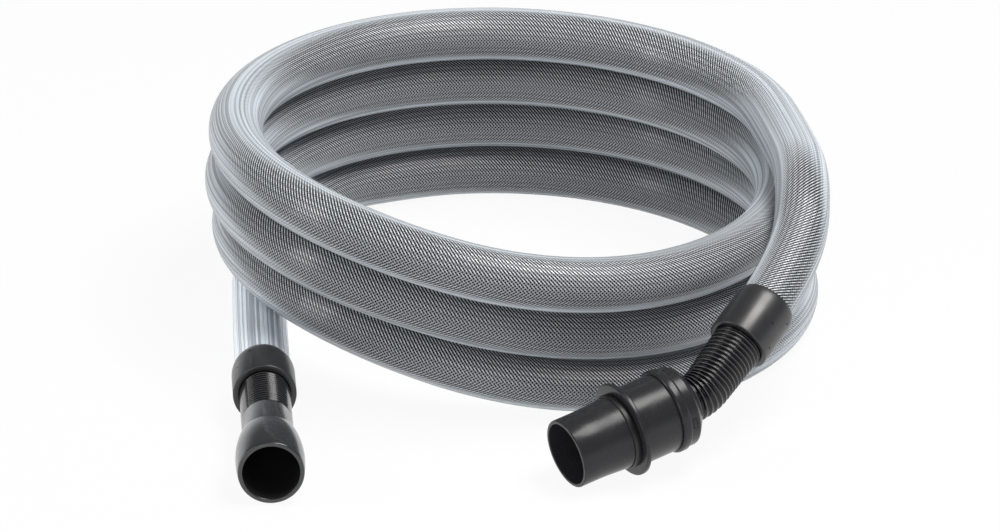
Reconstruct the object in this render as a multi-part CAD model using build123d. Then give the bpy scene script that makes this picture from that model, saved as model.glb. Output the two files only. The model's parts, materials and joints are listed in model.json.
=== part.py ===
from build123d import *
import os
from math import asin, atan2, cos, degrees, dist, pi, radians, sin, sqrt, tan

# Braided suction hose
hose_diameter = 45.0
hose_bore = 38.0
hose_grip_length = 30.0
hose_lead_length = 5.0
floor_flat_depth = 0.5
least_turn_gap = 1.5
gap_test_step = 5.0
gap_test_neighbours = 4

# Coil: radius of each level from the floor up, and how far its centre lies to the right and to the back
coil_levels = [(235.0, 4.5, 19.0), (232.0, 3.0, 16.5), (230.0, -4.5, -1.0), (228.5, -3.0, -13.5)]
climb_start_angle = -48.0
climb_turn = 110.0
level_arcs = 3
quarter_turn = 90.0

# Clearances and squeeze
slip_clearance = 0.15
running_clearance = 0.06
nose_clearance = 0.35
neck_passage_clearance = 0.6
floor_clearance = 0.3
seal_squeeze = 0.05

# Clamping collars, alike at both ends
collar_wall = 3.3
collar_rear_wall = 1.7
collar_taper_length = 6.0
collar_edge = 0.8
collar_lip_length = 6.8
collar_lip_clearance = 0.3
collar_ridge_count = 3
collar_ridge_height = 0.35
collar_ridge_length = 3.0
pip_diameter = 1.8
pip_depth = 0.6
pip_places = [(117.0, 11.0), (147.0, 24.0), (117.0, 39.0)]
pip_sides = 2

# Hose tails and their washers
tail_wall = 1.85
tail_insert_length = 36.0
tail_flange_thickness = 4.0
tail_stub_length = 14.0
barb_count = 4
barb_height = 0.5
washer_thickness = 1.2

# Ribbed necks
neck_bore = 31.0
neck_wall = 4.1
neck_end_wall = 1.8
neck_flange_overlap = 1.5
neck_flange_thickness = 4.0
rib_pitch = 4.1
left_rib_count = 13
left_rib_depth = 1.1
left_web_half_angle = 38.0
left_web_rise = 0.1
right_rib_count = 17
right_rib_depth = 1.7

# Four circles make a rib: their places as shares of the pitch and their rise as shares of the depth
rib_circles = [(0.0, 0.0), (0.3, 1.0), (0.7, 1.0), (0.98, 0.0)]

# Push-on cuff of the left end
cuff_sleeve_length = 32.0
cuff_socket_length = 62.0
cuff_bore = 45.0
cuff_wall = 4.9
cuff_mouth_wall = 3.7
cuff_shoulder_rise = 3.3
cuff_shoulder_length = 5.0
cuff_bore_depth = 44.0
cuff_lead_in = 0.6
cuff_stub_length = 14.0

# Swivel connector of the right end, measured from its mouth
spigot_diameter = 57.0
spigot_wall = 3.0
spigot_land_length = 22.0
spigot_root_rise = 1.5
spigot_length = 52.0
spigot_edge = 0.6
flange_reach = 6.4
flange_thickness = 4.0
flange_seal_length = 6.0
flange_seal_thickness = 1.3
body_diameter = 65.0
body_length = 34.0
sleeve_step = 1.9
sleeve_wall = 1.54
sleeve_length = 15.0
seal_sleeve_wall = 2.2
web_thickness = 3.0
throat_length = 4.0
cap_bead_rise = 2.5
cap_bead_length = 8.0
cap_bead_chamfer = 1.2
cap_rim_rise = 1.1
cap_rim_length = 8.0
cap_cone_length = 7.0
cap_rear_wall = 5.4
window_count = 4
window_width = 9.0
window_length = 4.0
window_from_bead = 1.2
lug_clearance = 0.25
lug_root_depth = 0.8

# Journal that the connector turns on
journal_nose_diameter = 44.0
journal_nose_length = 24.0
journal_flange_thickness = 4.0
journal_stub_length = 10.0
seal_section = 2.8
seal_setback = 18.0
thrust_washer_thickness = 1.2

# Where the two fittings lie, from the middle of the coil
left_collar_place = (-197.2, -201.1)
left_heading = 175.2
connector_mouth_place = (50.0, -341.9)
connector_heading = 58.2
right_collar_heading = 34.5
right_collar_rise = 26.5
neck_straight_length = 2.0
neck_bend_radius = 50.0
neck_run_length = 45.0

# Points that the hose's two tails pass, with the heading and rise of the hose there
left_lay_place = (-208.0, -45.0)
left_lay_heading = -3.5
right_descent_place = (234.0, -43.0)
right_descent_drop = 0.5
right_descent_heading = 171.8
right_descent_rise = 0.9

# Worked out from the values above, along each fitting's axis and across it
hose_radius = hose_diameter / 2
tail_flange_start = hose_grip_length + washer_thickness
neck_root = tail_flange_start + tail_flange_thickness
lip_start = neck_root + neck_flange_thickness
collar_length = lip_start + collar_lip_length
collar_diameter = hose_diameter + 2 * collar_wall
neck_flange_diameter = hose_diameter + 2 * neck_flange_overlap
left_neck_diameter = neck_bore + 2 * neck_wall + 2 * left_rib_depth
left_neck_end = collar_length + left_rib_count * rib_pitch + neck_straight_length
left_cuff_step = left_neck_end + cuff_sleeve_length
left_mouth = left_cuff_step + cuff_socket_length
right_neck_diameter = neck_bore + 2 * neck_wall + 2 * right_rib_depth
right_neck_end_diameter = neck_bore + 2 * neck_end_wall + 2 * right_rib_depth
stub_diameter = neck_bore - 2 * slip_clearance
tail_bore = stub_diameter - 2 * tail_wall
cuff_socket_diameter = cuff_bore + 2 * cuff_wall
spigot_root_diameter = spigot_diameter + 2 * spigot_root_rise
flange_diameter = body_diameter + 2 * flange_reach
body_start = spigot_length + flange_thickness
sleeve_start = body_start + body_length
sleeve_end = sleeve_start + sleeve_length
sleeve_diameter = body_diameter - 2 * sleeve_step
journal_bore = sleeve_diameter - 2 * sleeve_wall
journal_flange_diameter = journal_bore - 2 * running_clearance
cap_diameter = body_diameter + 2 * cap_rim_rise
window_start = sleeve_start + cap_bead_length + window_from_bead
cap_seat = sleeve_end + slip_clearance
thrust_washer_start = cap_seat - thrust_washer_thickness
journal_flange_end = thrust_washer_start - running_clearance
journal_flange_start = journal_flange_end - journal_flange_thickness
seal_bore = journal_nose_diameter + 2 * nose_clearance
cap_rim_end = sleeve_start + cap_bead_length + cap_rim_length
cap_end = cap_rim_end + cap_cone_length
cap_hole = right_neck_end_diameter + 2 * neck_passage_clearance


def heading(azimuth, elevation):
    """Unit vector at an azimuth from +Y towards +X and an elevation above the floor."""
    level = cos(radians(elevation))
    across = level * sin(radians(azimuth))
    forward = level * cos(radians(azimuth))
    return Vector(across, forward, sin(radians(elevation)))


def turned(*outline):
    """Solid turned about Z from an outline of (diameter, height) points."""
    points = [(diameter / 2, height) for diameter, height in outline]
    return revolve(Plane.XZ * Polygon(*points, align=None), Axis.Z)


def ring(inner, outer, start, end):
    """Plain ring about Z, from two diameters and two heights."""
    return turned((inner, start), (outer, start), (outer, end), (inner, end))


def biarc(start, start_direction, end, end_direction):
    """Two arcs that leave start along one direction and reach end along the other."""
    span = end - start
    both = start_direction + end_direction
    spread = 2 * (1 - start_direction.dot(end_direction))
    along = span.dot(both)
    reach = span.dot(span) / (2 * along)
    if spread > 1e-6:
        reach = (sqrt(along**2 + spread * span.dot(span)) - along) / spread
    first_corner = start + start_direction * reach
    last_corner = end - end_direction * reach
    middle = (first_corner + last_corner) * 0.5
    middle_direction = (last_corner - first_corner).normalized()
    return [
        Edge.make_tangent_arc(start, start_direction, middle),
        Edge.make_tangent_arc(middle, middle_direction, end),
    ]


def coil_pitch():
    """Height from one level to the next that keeps the gap where the turns climb."""
    smallest = min(radius for radius, _, _ in coil_levels)
    steepness = 1 / (4 * smallest * tan(radians(climb_turn / 4)))
    apart = hose_diameter + least_turn_gap
    squared = (1 - sqrt(1 - (4 * steepness * apart) ** 2)) / (8 * steepness**2)
    return sqrt(squared)


def level_height(level):
    """Height of the hose's centre line on one level of the coil."""
    return hose_radius - floor_flat_depth + level * coil_pitch()


def coil_nodes():
    """Points and directions along each level, clockwise from above and one level up each turn."""
    nodes = []
    level_arc = (360 - climb_turn) / level_arcs
    for level, (radius, shift, set_back) in enumerate(coil_levels):
        height = level_height(level)
        first = level_arcs - 1 if level == 0 else level_arcs
        last = 1 if level == len(coil_levels) - 1 else 0
        for index in range(first, last - 1, -1):
            angle = radians(climb_start_angle + index * level_arc)
            point = Vector(shift + radius * cos(angle), set_back + radius * sin(angle), height)
            nodes.append((point, Vector(sin(angle), -cos(angle), 0)))
    return nodes


def hose_route(left_plane, right_plane):
    """Centre line of the hose, from its end in the left collar to its end in the right one."""
    lead = hose_grip_length + hose_lead_length
    left_end = left_plane.origin + left_plane.z_dir * hose_grip_length
    left_exit = left_end - left_plane.z_dir * lead
    right_end = right_plane.origin + right_plane.z_dir * hose_grip_length
    right_exit = right_end - right_plane.z_dir * lead
    left_lay = Vector(left_lay_place[0], left_lay_place[1], level_height(0))
    descent_height = level_height(len(coil_levels) - 1) - right_descent_drop
    right_descent = Vector(right_descent_place[0], right_descent_place[1], descent_height)
    nodes = [(left_exit, left_plane.z_dir * -1), (left_lay, heading(left_lay_heading, 0))]
    nodes += coil_nodes()
    nodes.append((right_descent, heading(right_descent_heading, right_descent_rise)))
    nodes.append((right_exit, right_plane.z_dir))
    edges = [Edge.make_line(left_end, left_exit)]
    for (start, start_direction), (end, end_direction) in zip(nodes, nodes[1:]):
        edges += biarc(start, start_direction, end, end_direction)
    edges.append(Edge.make_line(right_exit, right_end))
    return Wire(edges)


def least_self_gap(route):
    """Least free space between stretches of the hose that aren't neighbours."""
    count = int(route.length / gap_test_step)
    points = [tuple(route.position_at(index / count)) for index in range(count + 1)]
    apart = int(gap_test_neighbours * hose_diameter / gap_test_step)
    nearest = min(
        dist(points[first], points[second])
        for first in range(count + 1)
        for second in range(first + apart, count + 1)
    )
    return nearest - hose_diameter


def hose(route):
    """The whole hose as one tube, pressed flat where it lies on the floor."""
    wall = Circle(hose_radius) - Circle(hose_bore / 2)
    tube = sweep(Plane(origin=route @ 0, z_dir=route % 0) * wall, path=route)
    return split(tube, bisect_by=Plane.XY, keep=Keep.TOP)


def collar(neck_diameter):
    """Clamping collar, from its rear edge at the hose to its lip round the neck."""
    grip_bore = hose_diameter + 2 * slip_clearance
    flange_bore = neck_flange_diameter + 2 * slip_clearance
    lip_bore = neck_diameter + 2 * collar_lip_clearance
    outline = [
        (hose_diameter + 2 * collar_rear_wall, 0),
        (collar_diameter, collar_taper_length),
        (collar_diameter, collar_length - collar_edge),
        (collar_diameter - 2 * collar_edge, collar_length),
        (lip_bore, collar_length),
        (lip_bore, lip_start),
        (flange_bore, lip_start),
        (flange_bore, hose_grip_length),
        (grip_bore, hose_grip_length),
        (grip_bore, 0),
    ]
    shell = turned(*outline)
    ridge_bore = hose_diameter - 2 * collar_ridge_height
    ridge_spacing = hose_grip_length / (collar_ridge_count + 1)
    for index in range(collar_ridge_count):
        ridge_end = (index + 1) * ridge_spacing
        ridge_start = ridge_end - collar_ridge_length
        root = grip_bore + 2 * slip_clearance
        shell += turned((root, ridge_start), (ridge_bore, ridge_end), (root, ridge_end))
    for angle, height in pip_places:
        for side in range(pip_sides):
            around = angle + 360 * side / pip_sides
            place = Pos(0, 0, height) * Rot(0, 0, around) * Rot(0, 90, 0) * Pos(0, 0, collar_diameter / 2)
            shell -= place * Cylinder(pip_diameter / 2, 2 * pip_depth)
    return shell


def hose_tail():
    """Barbed insert in the hose's end, with a flange and a stub that carries the neck."""
    insert_start = hose_grip_length - tail_insert_length
    insert_diameter = hose_bore - 2 * slip_clearance
    barb_pitch = tail_insert_length / (barb_count + 1)
    stop_diameter = hose_diameter - 2 * slip_clearance
    outline = [(tail_bore, insert_start), (insert_diameter - 2 * barb_height, insert_start)]
    for index in range(barb_count):
        barb_start = insert_start + index * barb_pitch
        outline.append((insert_diameter, barb_start + slip_clearance))
        outline.append((hose_bore + 2 * barb_height, barb_start + barb_pitch))
    outline += [
        (insert_diameter, insert_start + barb_count * barb_pitch + slip_clearance),
        (insert_diameter, tail_flange_start),
        (stop_diameter, tail_flange_start),
        (stop_diameter, neck_root),
        (stub_diameter, neck_root),
        (stub_diameter, neck_root + tail_stub_length),
        (tail_bore, neck_root + tail_stub_length),
    ]
    return turned(*outline)


def hose_washer():
    """Flat washer between the cut end of the hose and the tail's flange."""
    return ring(hose_bore, hose_diameter - 2 * slip_clearance, hose_grip_length, tail_flange_start)


def ribbed_tube(planes, diameters):
    """Ribbed tube through circles on the given planes, with the neck's bore."""
    outside = [plane * Circle(diameter / 2) for plane, diameter in zip(planes, diameters)]
    inside = [plane * Circle(neck_bore / 2) for plane in planes]
    return loft(outside, ruled=True) - loft(inside, ruled=True)


def rib_stations(start, count, crest_start, crest_end, depth):
    """Stations and diameters of four circles a rib, from one crest size to another."""
    stations = []
    for index in range(count):
        root = crest_start + (crest_end - crest_start) * index / max(count - 1, 1) - 2 * depth
        for along, rise in rib_circles:
            stations.append((start + (index + along) * rib_pitch, root + 2 * depth * rise))
    return stations


def left_neck():
    """Straight ribbed neck with a plain web along each side, from its flange to the cuff."""
    size = left_neck_diameter
    web_start = collar_length - neck_straight_length
    stations = [(neck_root, size), (web_start, size)]
    stations += rib_stations(collar_length, left_rib_count, size, size, left_rib_depth)
    stations += [(left_neck_end - neck_straight_length / 2, size), (left_neck_end, size)]
    planes = [Plane(origin=(0, 0, height)) for height, _ in stations]
    neck = ribbed_tube(planes, [diameter for _, diameter in stations])
    neck += ring(neck_bore, neck_flange_diameter, neck_root, lip_start)
    web_length = left_neck_end - web_start
    web_height = size * sin(radians(left_web_half_angle))
    web_diameter = size + 2 * left_web_rise
    web = ring(size - 3 * left_rib_depth, web_diameter, web_start, left_neck_end)
    web &= Pos(0, 0, web_start + web_length / 2) * Box(web_diameter, web_height, web_length)
    return neck + web


def left_cuff():
    """Push-on cuff: a stub in the neck, a plain sleeve and a barrel-shaped socket."""
    seat = left_mouth - cuff_bore_depth
    barrel_start = left_cuff_step + cuff_shoulder_length
    barrel_middle = (barrel_start + left_mouth) / 2
    shoulder_diameter = left_neck_diameter + 2 * cuff_shoulder_rise
    mouth_diameter = cuff_bore + 2 * cuff_mouth_wall
    barrel = ThreePointArc(
        (shoulder_diameter / 2, barrel_start),
        (cuff_socket_diameter / 2, barrel_middle),
        (mouth_diameter / 2, left_mouth),
    )
    outside = [
        (tail_bore, left_neck_end - cuff_stub_length),
        (stub_diameter, left_neck_end - cuff_stub_length),
        (stub_diameter, left_neck_end),
        (left_neck_diameter, left_neck_end),
        (left_neck_diameter, left_cuff_step),
        (shoulder_diameter, barrel_start),
    ]
    inside = [
        (mouth_diameter, left_mouth),
        (cuff_bore + 2 * cuff_lead_in, left_mouth),
        (cuff_bore, left_mouth - 2 * cuff_lead_in),
        (cuff_bore, seat),
        (tail_bore, left_cuff_step),
        (tail_bore, left_neck_end - cuff_stub_length),
    ]
    edges = barrel.edges()
    for points in (outside, inside):
        edges += Polyline(*[(diameter / 2, height) for diameter, height in points]).edges()
    return revolve(Plane.XZ * make_face(edges), Axis.Z)


def connector_body():
    """Spigot, flange and barrel of the connector, with the bore that the journal turns in."""
    spigot_bore = spigot_diameter - 2 * spigot_wall
    seal_sleeve = seal_bore + 2 * seal_sleeve_wall
    seal_start = journal_flange_start - running_clearance - journal_nose_length - web_thickness
    outline = [
        (spigot_bore, 0),
        (spigot_diameter - 2 * spigot_edge, 0),
        (spigot_diameter, spigot_edge),
        (spigot_diameter, spigot_land_length),
        (spigot_root_diameter, spigot_length - flange_seal_length),
        (spigot_root_diameter, spigot_length),
        (flange_diameter - 2 * spigot_edge, spigot_length),
        (flange_diameter, spigot_length + spigot_edge),
        (flange_diameter, body_start),
        (body_diameter, body_start),
        (body_diameter, sleeve_start),
        (sleeve_diameter, sleeve_start),
        (sleeve_diameter, sleeve_end),
        (journal_bore, sleeve_end),
        (journal_bore, seal_start + web_thickness),
        (seal_sleeve, seal_start + web_thickness),
        (seal_sleeve, journal_flange_start - running_clearance),
        (seal_bore, journal_flange_start - running_clearance),
        (seal_bore, seal_start),
        (spigot_bore, seal_start - throat_length),
    ]
    shell = turned(*outline)
    lug_length = window_length - 2 * lug_clearance
    lug_width = window_width - 2 * lug_clearance
    lug_top = (cap_diameter - lug_clearance) / 2
    lug_foot = sleeve_diameter / 2 - lug_root_depth
    for index in range(window_count):
        lug = Box(lug_top - lug_foot, lug_width, lug_length)
        place = Pos((lug_top + lug_foot) / 2, 0, window_start + window_length / 2)
        shell += Rot(0, 0, 360 * index / window_count) * place * lug
    return shell


def connector_cap():
    """Rear cap, snapped over the barrel's sleeve, with its bead, windows and cone."""
    cap_bore = sleeve_diameter + 2 * slip_clearance
    bead_diameter = body_diameter + 2 * cap_bead_rise
    outline = [
        (cap_bore, sleeve_start),
        (bead_diameter - 2 * cap_bead_chamfer, sleeve_start),
        (bead_diameter, sleeve_start + cap_bead_chamfer),
        (bead_diameter, sleeve_start + cap_bead_length - cap_bead_chamfer),
        (cap_diameter, sleeve_start + cap_bead_length),
        (cap_diameter, cap_rim_end),
        (cap_hole + 2 * cap_rear_wall, cap_end),
        (cap_hole, cap_end),
        (cap_hole, cap_seat),
        (cap_bore, cap_seat),
    ]
    shell = turned(*outline)
    for index in range(window_count):
        window = Box(cap_diameter / 2, window_width, window_length)
        place = Pos(cap_diameter / 2, 0, window_start + window_length / 2)
        shell -= Rot(0, 0, 360 * index / window_count) * place * window
    return shell


def flange_seal():
    """Soft ring round the spigot's root, against the flange."""
    outer = spigot_root_diameter + 2 * flange_seal_thickness
    return ring(spigot_root_diameter, outer, spigot_length - flange_seal_length, spigot_length)


def swivel_journal():
    """Journal on the neck's end: nose with a seal groove, trapped flange and stub."""
    nose_start = journal_flange_start - journal_nose_length
    seal_height = journal_flange_start - seal_setback
    groove = seal_bore - 2 * running_clearance - 2 * seal_section + 2 * seal_squeeze
    groove_reach = seal_section / 2 + slip_clearance
    outline = [
        (tail_bore, nose_start),
        (journal_nose_diameter, nose_start),
        (journal_nose_diameter, seal_height - groove_reach),
        (groove, seal_height - groove_reach),
        (groove, seal_height + groove_reach),
        (journal_nose_diameter, seal_height + groove_reach),
        (journal_nose_diameter, journal_flange_start),
        (journal_flange_diameter, journal_flange_start),
        (journal_flange_diameter, journal_flange_end),
        (stub_diameter, journal_flange_end),
        (stub_diameter, journal_flange_end + journal_stub_length),
        (tail_bore, journal_flange_end + journal_stub_length),
    ]
    return turned(*outline)


def swivel_seal():
    """Round-section sealing ring, squeezed into the journal's groove."""
    middle = seal_bore - 2 * running_clearance - seal_section
    section = Pos(middle / 2, journal_flange_start - seal_setback) * Circle(seal_section / 2)
    return revolve(Plane.XZ * section, Axis.Z)


def thrust_washer():
    """Washer between the journal's flange and the cap."""
    outer = journal_flange_diameter - 2 * slip_clearance
    return ring(cap_hole, outer, thrust_washer_start, cap_seat)


def right_neck(seat, bend_start, connector_axis, collar_axis, hinge_axis):
    """Bent ribbed neck from the journal's flange to its own flange in the right collar."""
    bend = radians(connector_axis.get_angle(collar_axis))
    towards = (collar_axis - connector_axis * connector_axis.dot(collar_axis)).normalized()
    straight = (bend_start - seat).length
    curved = neck_bend_radius * bend
    in_collar = collar_length + neck_straight_length - neck_root
    whole = straight + curved + neck_run_length + in_collar

    def plane_at(distance):
        turn = min(max(distance - straight, 0) / neck_bend_radius, bend)
        axis = connector_axis * cos(turn) + towards * sin(turn)
        point = seat + connector_axis * min(distance, straight)
        point += connector_axis * (neck_bend_radius * sin(turn))
        point += towards * (neck_bend_radius * (1 - cos(turn)))
        point += axis * max(distance - straight - curved, 0)
        return Plane(origin=point, x_dir=hinge_axis, z_dir=axis)

    narrow, wide = right_neck_end_diameter, right_neck_diameter
    first_rib = straight - neck_straight_length / 2
    stations = [(0, narrow), (first_rib - neck_straight_length / 2, narrow)]
    stations += rib_stations(first_rib, right_rib_count, narrow, wide, right_rib_depth)
    stations += [(stations[-1][0] + neck_straight_length / 2, wide), (whole, wide)]
    planes = [plane_at(distance) for distance, _ in stations]
    neck = ribbed_tube(planes, [diameter for _, diameter in stations])
    flange_plane = plane_at(whole)
    neck += flange_plane * ring(neck_bore, neck_flange_diameter, -neck_flange_thickness, 0)
    return neck, flange_plane


# Left fitting: its collar and its wider cuff both lie on the floor, so it rises a little to its mouth
cuff_widest = (left_cuff_step + cuff_shoulder_length + left_mouth) / 2
cuff_height = cuff_socket_diameter / 2 + floor_clearance
cuff_rise = (cuff_socket_diameter - collar_diameter) / 2
left_rise = degrees(asin(cuff_rise / (cuff_widest - collar_taper_length)))
left_height = cuff_height - cuff_widest * sin(radians(left_rise))
left_plane = Plane(
    origin=(left_collar_place[0], left_collar_place[1], left_height),
    x_dir=heading(left_heading - quarter_turn, 0),
    z_dir=heading(left_heading, left_rise),
)

# Right connector: its flange and its mouth both meet the floor, which tilts it
connector_tilt = degrees(atan2((flange_diameter - spigot_diameter) / 2, spigot_length))
connector_axis = heading(connector_heading, connector_tilt)
mouth_height = spigot_diameter / 2 * cos(radians(connector_tilt)) + floor_clearance
connector_plane = Plane(
    origin=(connector_mouth_place[0], connector_mouth_place[1], mouth_height),
    x_dir=heading(connector_heading + 2 * quarter_turn, quarter_turn - connector_tilt),
    z_dir=connector_axis,
)

# Right neck and collar: bent up from the connector towards the top of the coil
collar_axis = heading(right_collar_heading, right_collar_rise)
hinge_axis = connector_axis.cross(collar_axis).normalized()
neck_seat = connector_plane.origin + connector_axis * journal_flange_end
bend_start = connector_plane.origin + connector_axis * (cap_end + neck_straight_length)
right_neck_solid, neck_root_plane = right_neck(
    neck_seat, bend_start, connector_axis, collar_axis, hinge_axis
)
right_plane = Plane(
    origin=neck_root_plane.origin + collar_axis * neck_root,
    x_dir=hinge_axis,
    z_dir=collar_axis * -1,
)

route = hose_route(left_plane, right_plane)
nodes = {
    "hose": hose(route),
    "left_collar": left_plane * collar(left_neck_diameter),
    "left_hose_tail": left_plane * hose_tail(),
    "left_hose_washer": left_plane * hose_washer(),
    "left_neck": left_plane * left_neck(),
    "left_cuff": left_plane * left_cuff(),
    "right_collar": right_plane * collar(right_neck_diameter),
    "right_hose_tail": right_plane * hose_tail(),
    "right_hose_washer": right_plane * hose_washer(),
    "right_neck": right_neck_solid,
    "swivel_journal": connector_plane * swivel_journal(),
    "swivel_seal": connector_plane * swivel_seal(),
    "thrust_washer": connector_plane * thrust_washer(),
    "connector_cap": connector_plane * connector_cap(),
    "connector_body": connector_plane * connector_body(),
    "flange_seal": connector_plane * flange_seal(),
}

# The origin is on the floor, under the middle of the whole part
boxes = [solid.bounding_box() for solid in nodes.values()]
middle_x = (min(box.min.X for box in boxes) + max(box.max.X for box in boxes)) / 2
middle_y = (min(box.min.Y for box in boxes) + max(box.max.Y for box in boxes)) / 2
to_origin = Pos(-middle_x, -middle_y, 0)

os.makedirs("parts", exist_ok=True)
for name, solid in nodes.items():
    export_step(to_origin * solid, f"parts/{name}.step")

section_area = (hose_diameter**2 - hose_bore**2) * pi / 4
bends = [edge for edge in route.edges() if edge.geom_type == GeomType.CIRCLE]
print(f"hose length {route.length:.1f} mm, coil pitch {coil_pitch():.2f} mm")
print(f"least gap of the hose to itself {least_self_gap(route):.2f} mm")
print(f"hose volume {nodes['hose'].volume:.0f} mm3")
print(f"hose section times length {section_area * route.length:.0f} mm3")
print(f"hose bend radii {[round(bend.radius) for bend in bends]} mm")
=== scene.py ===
"""Looks of a coiled, clear, braid-reinforced suction hose with a push-on cuff and a swivel connector."""
import json
import logging
from collections.abc import Callable, Sequence
from dataclasses import dataclass, field
from enum import Enum
from math import atan2, cos, hypot, pi, radians, sin

import bmesh
import bpy
from mathutils import Matrix, Vector


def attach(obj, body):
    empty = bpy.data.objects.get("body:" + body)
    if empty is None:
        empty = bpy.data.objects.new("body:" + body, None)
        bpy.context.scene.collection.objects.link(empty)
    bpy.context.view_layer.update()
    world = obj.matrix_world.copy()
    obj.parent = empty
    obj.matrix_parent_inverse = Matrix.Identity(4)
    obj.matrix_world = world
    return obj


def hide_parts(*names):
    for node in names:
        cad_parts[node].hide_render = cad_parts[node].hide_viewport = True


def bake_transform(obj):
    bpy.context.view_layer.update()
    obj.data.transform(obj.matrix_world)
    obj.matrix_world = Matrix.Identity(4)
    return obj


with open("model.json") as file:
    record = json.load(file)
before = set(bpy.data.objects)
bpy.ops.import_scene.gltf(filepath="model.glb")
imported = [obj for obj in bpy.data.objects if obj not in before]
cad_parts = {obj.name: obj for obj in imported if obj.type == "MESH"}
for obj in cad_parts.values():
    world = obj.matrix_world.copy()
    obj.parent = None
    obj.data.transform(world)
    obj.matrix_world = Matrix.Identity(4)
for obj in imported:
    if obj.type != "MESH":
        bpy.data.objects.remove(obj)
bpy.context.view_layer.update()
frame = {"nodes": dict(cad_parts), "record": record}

log = logging.getLogger("suction_hose")

Pair = tuple[float, float]
Triple = tuple[float, float, float]
Piece = bpy.types.Object
Material = bpy.types.Material
Socket = bpy.types.NodeSocket
Feeds = dict[str | int, object]

HOSE_MAP = "hose_run"
MERGE_DISTANCE = 1e-6
ROUND_SIDES = 96
SMOOTH_ANGLE = 40.0
RIBBED_SMOOTH_ANGLE = 50.0
FULL_TURN = 2 * pi
UP = Vector((0, 0, 1))

# Roundings of corners, in metres, from a broken edge to a broad curve.
BROKEN, CRISP, FINE, SMALL, SOFT = 0.0003, 0.0004, 0.0005, 0.0006, 0.0008
RIM, MOUTH, FULL, BROAD = 0.0009, 0.0011, 0.0012, 0.0015


class Body(Enum):
    """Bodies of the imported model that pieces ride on."""

    HOSE_RUN = "hose_run"
    CUFF = "cuff"
    NECK_END = "neck_end"
    CONNECTOR = "connector"


class Slot(Enum):
    """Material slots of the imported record."""

    CLEAR_BRAID = "clear_braid"
    BLACK_PLASTIC = "black_plastic"
    CONNECTOR_PLASTIC = "connector_plastic"
    BLACK_RUBBER = "black_rubber"
    SEAL_RUBBER = "seal_rubber"


@dataclass(frozen=True)
class Corner:
    """One corner of a turned piece's outline, with how far it is rounded."""

    radius: float
    station: float
    rounding: float = 0.0


def record_entry(kind: str, name: str) -> tuple[Vector, Vector]:
    """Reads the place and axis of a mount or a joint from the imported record.

    Args:
        kind: "mounts" or "joints".
        name: The entry's name.

    Returns:
        Its point in the row frame, in metres, and its unit axis.
    """
    record = frame["record"]
    entries = record["mounts"] if kind == "mounts" else record["behaviour"]["joints"]
    entry = next(entry for entry in entries if entry["name"] == name)
    return Vector(entry["pos_m"]), Vector(entry["axis"]).normalized()


def placed(origin: Vector, axis: Vector, across: Vector) -> Matrix:
    """Makes the matrix of a place whose Z is an axis and whose X is about another direction.

    Args:
        origin: The place's origin.
        axis: Its Z direction.
        across: A direction that X is nearest to.

    Returns:
        The matrix from the piece's own frame to the row frame.
    """
    side = (across - axis * across.dot(axis)).normalized()
    matrix = Matrix((side, axis.cross(side), axis)).transposed().to_4x4()
    matrix.translation = origin
    return matrix


def arc(start: Pair, middle: Pair, end: Pair, count: int) -> list[Corner]:
    """Corners along the arc through three (radius, station) points.

    Args:
        start: First point.
        middle: A point on the arc.
        end: Last point.
        count: How many corners lie strictly between the first and the last.

    Returns:
        The corners between the two ends.
    """
    (ax, ay), (bx, by), (cx, cy) = start, middle, end
    cross = 2 * (ax * (by - cy) + bx * (cy - ay) + cx * (ay - by))
    squares = [x * x + y * y for x, y in (start, middle, end)]
    centre_x = (squares[0] * (by - cy) + squares[1] * (cy - ay) + squares[2] * (ay - by)) / cross
    centre_y = (squares[0] * (cx - bx) + squares[1] * (ax - cx) + squares[2] * (bx - ax)) / cross
    radius = hypot(ax - centre_x, ay - centre_y)
    first = atan2(ay - centre_y, ax - centre_x)
    sweep = (atan2(cy - centre_y, cx - centre_x) - first + pi) % FULL_TURN - pi
    angles = [first + sweep * (index + 1) / (count + 1) for index in range(count)]
    return [Corner(centre_x + radius * cos(angle), centre_y + radius * sin(angle)) for angle in angles]


def turn_piece(name: str, outline: Sequence[Corner], bevel_steps: int = 3) -> Piece:
    """Turns a closed outline about Z, as on a lathe, with its corners rounded first.

    Args:
        name: The new piece's name.
        outline: Corners of the section, in order.
        bevel_steps: Segments of each rounded corner.

    Returns:
        The piece, still in its own frame.
    """
    bpy.ops.object.select_all(action="DESELECT")
    bpy.ops.mesh.primitive_plane_add(size=outline[0].radius)
    piece = bpy.context.object
    piece.name = piece.data.name = name
    bpy.ops.object.mode_set(mode="EDIT")
    bpy.ops.mesh.select_mode(type="VERT")
    bpy.ops.mesh.select_all(action="SELECT")
    bpy.ops.mesh.merge(type="CENTER")
    points = [Vector((corner.radius, 0, corner.station)) for corner in outline]
    bpy.ops.transform.translate(value=points[0])
    for here, there in zip(points, [*points[1:], points[0]]):
        bpy.ops.mesh.extrude_region_move(TRANSFORM_OT_translate={"value": there - here})
    bpy.ops.mesh.select_all(action="SELECT")
    bpy.ops.mesh.remove_doubles(threshold=MERGE_DISTANCE)
    for size in sorted({corner.rounding for corner in outline if corner.rounding}):
        rounded = [point for point, corner in zip(points, outline) if corner.rounding == size]
        mesh = bmesh.from_edit_mesh(piece.data)
        for vertex in mesh.verts:
            vertex.select_set(any((vertex.co - point).length < 10 * MERGE_DISTANCE for point in rounded))
        mesh.select_flush_mode()
        bmesh.update_edit_mesh(piece.data)
        bpy.ops.mesh.bevel(offset=size, segments=bevel_steps, affect="VERTICES")
    bpy.ops.mesh.select_all(action="SELECT")
    bpy.ops.mesh.spin(steps=ROUND_SIDES, angle=FULL_TURN, center=(0, 0, 0), axis=UP)
    bpy.ops.mesh.select_all(action="SELECT")
    bpy.ops.mesh.remove_doubles(threshold=MERGE_DISTANCE)
    bpy.ops.mesh.normals_make_consistent(inside=False)
    bpy.ops.object.mode_set(mode="OBJECT")
    return piece


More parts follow.
